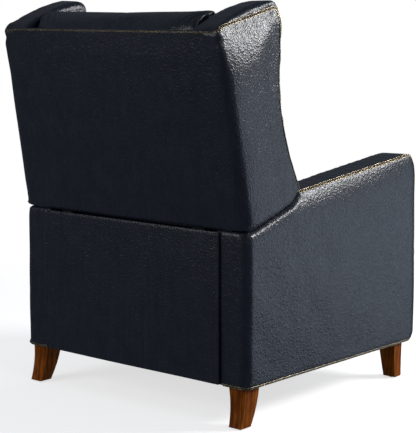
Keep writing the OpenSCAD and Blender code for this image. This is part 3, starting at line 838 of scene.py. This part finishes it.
def rounded_loop(half_x, low, high, corner):
    """A rectangle with rounded corners in X and Y, and its outward directions."""
    spots, outs = [], []
    right, front, rear = half_x - corner, low + corner, high - corner
    for cx, cy, start in ((right, rear, 0), (-right, rear, 90),
                          (-right, front, 180), (right, front, 270)):
        for a in range(start, start + 91, 6):
            out = Vector((math.cos(math.radians(a)), math.sin(math.radians(a))))
            spots.append((cx + corner * out.x, cy + corner * out.y))
            outs.append(out)
    return spots, outs


def close_loop(spots, outs, step):
    """More points along the straight runs of a loop."""
    dense, aims = [], []
    for i, (a, out_a) in enumerate(zip(spots, outs)):
        b, out_b = spots[(i + 1) % len(spots)], outs[(i + 1) % len(spots)]
        count = max(1, int(math.dist(a, b) / step))
        for k in range(count):
            t = k / count
            dense.append((a[0] + (b[0] - a[0]) * t, a[1] + (b[1] - a[1]) * t))
            aims.append(out_a.lerp(out_b, t))
    return dense, aims


seat_low, seat_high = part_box("seat_cushion")
seat = copy_of("seat_cushion", "seat_cushion_cover")
shrink(seat, (0.008, 0.008, 0.012))
inflate(seat, CUSHION_FACES, 4, 0.024)
points = read_points(seat)
fit(points, 0, seat_low.x + 0.0005, seat_high.x - 0.0005)
fit(points, 1, seat_low.y, seat_high.y)
fit(points, 2, seat_low.z - 0.012, seat_high.z)
points[:, 2] = np.maximum(points[:, 2], seat_low.z + 0.0005)
write_points(seat, points)
undulate(points, read_normals(seat), 0.0016, 44)
write_points(seat, points)
surface = surface_of(seat)
corners, corner_outs = rounded_loop(seat_high.x - 0.010, seat_low.y + 0.012,
                                    seat_high.y - 0.012, 0.03)
spots, outs = close_loop(corners, corner_outs, 0.006)
path = [(x, y, seat_high.z - 0.030) for x, y in spots]
aims = [(-o.x * 0.8, -o.y * 0.8, -0.6) for o in outs]
seam = welt("seat_welt", path, aims, surface, WELT_RADIUS)
only(seat)
seam.select_set(True)
bpy.ops.object.join()
dress(seat, "seat", "cushion_leather", seat_leather, "seat_cushion")


# ---- Back cushion ----
# The inside back is one long foam-filled leather cushion between the wings. Its top rolls over
# the frame to the rear seam, with short diagonal pleats where the roll meets each wing.
cushion = copy_of("back_cushion", "back_cushion_cover")
cad_local = back_frame(read_points(cushion))
frame_rest = -0.043
ROLL_DEPTH = 0.034
PLEAT_PITCH = 0.021
shrink(cushion, (0.008, 0.010, 0.008))
inflate(cushion, CUSHION_FACES, 4, 0.022)
local = back_frame(read_points(cushion))
for axis, margin in enumerate((0.001, 0, 0)):
    fit(local, axis, cad_local[:, axis].min() + margin, cad_local[:, axis].max() - margin)
resting = local[:, 2] < back_top - ROLL_DEPTH
local[:, 1] = np.where(resting, np.minimum(local[:, 1], frame_rest - 0.0005),
                       np.minimum(local[:, 1], -PANEL - 0.0009))
front_face = local[:, 1] < frame_rest - 0.05
for height, depth in ((0.62 * back_top, 0.007), (0.22 * back_top, 0.004)):
    local[:, 1] += np.where(front_face, depth * np.exp(-((local[:, 2] - height) / 0.008) ** 2), 0)
write_points(cushion, from_back_frame(local))
points, normals = read_points(cushion), read_normals(cushion)
undulate(points, normals, 0.0014, 51)
on_roll = np.clip((local[:, 2] - back_top - 0.004) / 0.012, 0, 1)
at_end = np.clip((np.abs(local[:, 0]) - 0.215) / 0.05, 0, 1)
lean = (np.abs(local[:, 0]) + 0.7 * local[:, 1]) * 2 * math.pi / PLEAT_PITCH
points += normals * (0.0017 * on_roll * at_end * np.sin(lean))[:, None]
write_points(cushion, points)
dress(cushion, "back", "cushion_leather", seat_leather, "back_cushion")


# ---- Footrest pad ----
# A foam pad in a leather cover, stapled to the footrest board. It is softly crowned, and its
# edges are round.
pad_low, pad_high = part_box("footrest_pad")
pad = copy_of("footrest_pad", "footrest_pad_cover")
shrink(pad, (0.006, 0.004, 0.006))
inflate(pad, 0.007, 4, 0.016)
points = read_points(pad)
for axis in range(3):
    fit(points, axis, pad_low[axis] + 0.0003, pad_high[axis] - 0.0003)
write_points(pad, points)
dress(pad, "footrest", "cushion_leather", seat_leather, "footrest_pad")


# ---- Feet ----
# Four solid hardwood feet, stained red-brown with a thin matt finish and screwed up into leg
# plates. The grain runs up each foot and takes the stain unevenly.
def paint_nodes(names, finish, bevel=0.0):
    """CAD nodes keep their shape and get a finish, with softened edges where asked."""
    for name in names:
        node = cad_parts[name]
        if not node.material_slots:
            node.data.materials.append(finish)
        for place in node.material_slots:
            place.material = finish
        if bevel:
            weld = node.modifiers.new("weld", "WELD")
            weld.merge_threshold = 0.00002
            edge = node.modifiers.new("edge", "BEVEL")
            edge.width = bevel
            edge.segments = 3
            edge.limit_method = "ANGLE"
            edge.angle_limit = math.radians(35)
            edge.harden_normals = False


def wood(name, deep, pale, stretch, gloss, specular=0.5):
    """Timber whose grain runs where stretch is small."""
    timber = Finish(name, Specular_IOR_Level=specular)
    flow = timber.noise(1, 4, 0.6, along=timber.stretched(stretch))
    rings = timber.add("ShaderNodeTexWave", {"wave_type": "BANDS", "bands_direction": "DIAGONAL"},
                       {"Vector": timber.stretched([s * 0.5 for s in stretch]), "Scale": 1.1,
                        "Distortion": 7.0, "Detail": 3, "Detail Scale": 1.6})
    pores = timber.noise(1, 2, 0.5, along=timber.stretched([s * 9 for s in stretch]))
    cloud = timber.noise(18, 2)
    tone = (flow * 0.45 + rings * 0.125 + cloud * 0.4).band(0.22, 0.78)
    ridge = timber.bump(pores * 0.6 + flow * 0.4, 0.0004, 0.35)
    return timber.wire_up(Base_Color=timber.blend(tone, deep, pale),
                          Roughness=pores * 0.14 + gloss, Normal=ridge)


stained_wood = wood("stained_hardwood", (0.13, 0.024, 0.001), (0.58, 0.160, 0.014),
                    (75, 75, 9), 0.45, 0.08)
paint_nodes(["front_leg_left", "front_leg_right", "rear_leg_left", "rear_leg_right"],
            stained_wood, 0.0018)


# ---- Timber frame ----
# Rails, stiles and shaped side frames of sawn hardwood and plywood, doweled, glued and screwed.
# What can show past the upholstery is near black. On the back stiles and back rails this is
# painted shade for the dark gap between back and base. On the front rail and footrest board it is
# a dark stain.
SAWN = ((0.42, 0.27, 0.14), (0.64, 0.46, 0.27))
SAWN_DEEP = ((0.40, 0.26, 0.14), (0.60, 0.44, 0.26))
BLACK_STAIN_AND_GAP_SHADE = ((0.010, 0.009, 0.008), (0.030, 0.026, 0.022))
UP, ALONG, FRONT_TO_BACK = (90, 90, 8), (8, 90, 90), (90, 8, 90)
RAIL_EDGE = 0.0012

sawn_up = wood("sawn_timber_up", *SAWN, UP, 0.62)
sawn_along = wood("sawn_timber_along", *SAWN, ALONG, 0.62)
# Near-black timber: partly a dark stain, partly painted shade for the gap between back and base.
gap_shade_black_up = wood("gap_shade_black_timber_up", *BLACK_STAIN_AND_GAP_SHADE, UP, 0.55)
stain_and_gap_shade_black_along = wood("stain_and_gap_shade_black_timber_along", *BLACK_STAIN_AND_GAP_SHADE, ALONG, 0.55)
sawn_deep = wood("sawn_timber_deep", *SAWN_DEEP, FRONT_TO_BACK, 0.62)
paint_nodes(["arm_frame_left", "arm_frame_right", "wing_frames"], sawn_up)
# Painted shade: the back stiles and back rails are near black, so the gap between back and base
# reads dark.
paint_nodes(["back_stiles"], gap_shade_black_up)
paint_nodes(["front_cross_rail", "back_rails", "footrest_board"], stain_and_gap_shade_black_along, RAIL_EDGE)
paint_nodes(["rear_cross_rail", "seat_cross_rails", "flap_board"], sawn_along, RAIL_EDGE)
paint_nodes(["seat_side_rails"], sawn_deep, RAIL_EDGE)


# ---- Recline and footrest mechanism ----
# Swing links and footrest links of zinc-plated strip turn on zinc-plated pins, between
# mechanism plates, rails, brackets and tubes of black-painted steel.
PRESSED_EDGE = 0.0006


def metal(name, deep, pale, metallic, gloss, scale):
    plate = Finish(name, Metallic=metallic, Specular_IOR_Level=0.5)
    cloud = plate.noise(scale, 4, 0.6)
    brushed = plate.noise(1, 3, 0.6, along=plate.stretched((900, 60, 60)))
    tone = (cloud * 0.6 + brushed * 0.4).band(0.32, 0.7)
    return plate.wire_up(Base_Color=plate.blend(tone, deep, pale), Roughness=tone * 0.14 + gloss,
                         Normal=plate.bump(brushed, 0.0002, 0.4))


zinc = metal("zinc_plate", (0.42, 0.43, 0.44), (0.70, 0.71, 0.70), 1.0, 0.30, 60)
black_steel = metal("black_painted_steel", (0.012, 0.012, 0.013), (0.040, 0.041, 0.044),
                    0.2, 0.38, 90)
paint_nodes(["front_swing_links", "rear_swing_links", "footrest_rear_links",
             "footrest_front_links"], zinc, PRESSED_EDGE)
paint_nodes(["hanger_bolts", "plate_bolts", "base_pivot_pins", "front_upper_pins",
             "rear_upper_pins", "back_hinge_pins", "footrest_root_pins"], zinc)
paint_nodes(["mechanism_plate_left", "mechanism_plate_right", "seat_rail_left", "seat_rail_right",
             "back_bracket_left", "back_bracket_right", "footrest_brackets"],
            black_steel, PRESSED_EDGE)
paint_nodes(["base_cross_tube", "swing_torque_tube", "footrest_torsion_tube", "leg_plates",
             "foot_glides"], black_steel)


# ---- Springs and webbing ----
# Sinuous springs of hard-drawn wire, held in steel clips, carry the seat under a woven deck
# cloth, and jute webbing tacked to the back rails carries the back cushion.
paint_nodes(["seat_springs", "spring_clips"],
            metal("spring_wire", (0.05, 0.05, 0.055), (0.16, 0.16, 0.17), 0.9, 0.34, 140))


def weave(name, deep, pale, threads):
    cloth = Finish(name, Specular_IOR_Level=0.25)
    wave = lambda direction: cloth.add(
        "ShaderNodeTexWave", {"wave_type": "BANDS", "bands_direction": direction},
        {"Vector": cloth.place, "Scale": threads, "Distortion": 0.4})
    lattice = wave("X") * wave("Y") * 0.6 + wave("Z") * 0.4
    fuzz = cloth.noise(700, 3)
    tone = (lattice * 0.6 + fuzz * 0.4).band(0.2, 0.7)
    return cloth.wire_up(Base_Color=cloth.blend(tone, deep, pale), Roughness=fuzz * 0.1 + 0.82,
                         Normal=cloth.bump(lattice + fuzz * 0.3, 0.0005, 0.7))


paint_nodes(["back_webbing"], weave("jute_webbing", (0.16, 0.12, 0.07), (0.36, 0.29, 0.18), 90))
paint_nodes(["seat_deck"], weave("deck_cloth", (0.012, 0.013, 0.016), (0.035, 0.037, 0.044), 140))
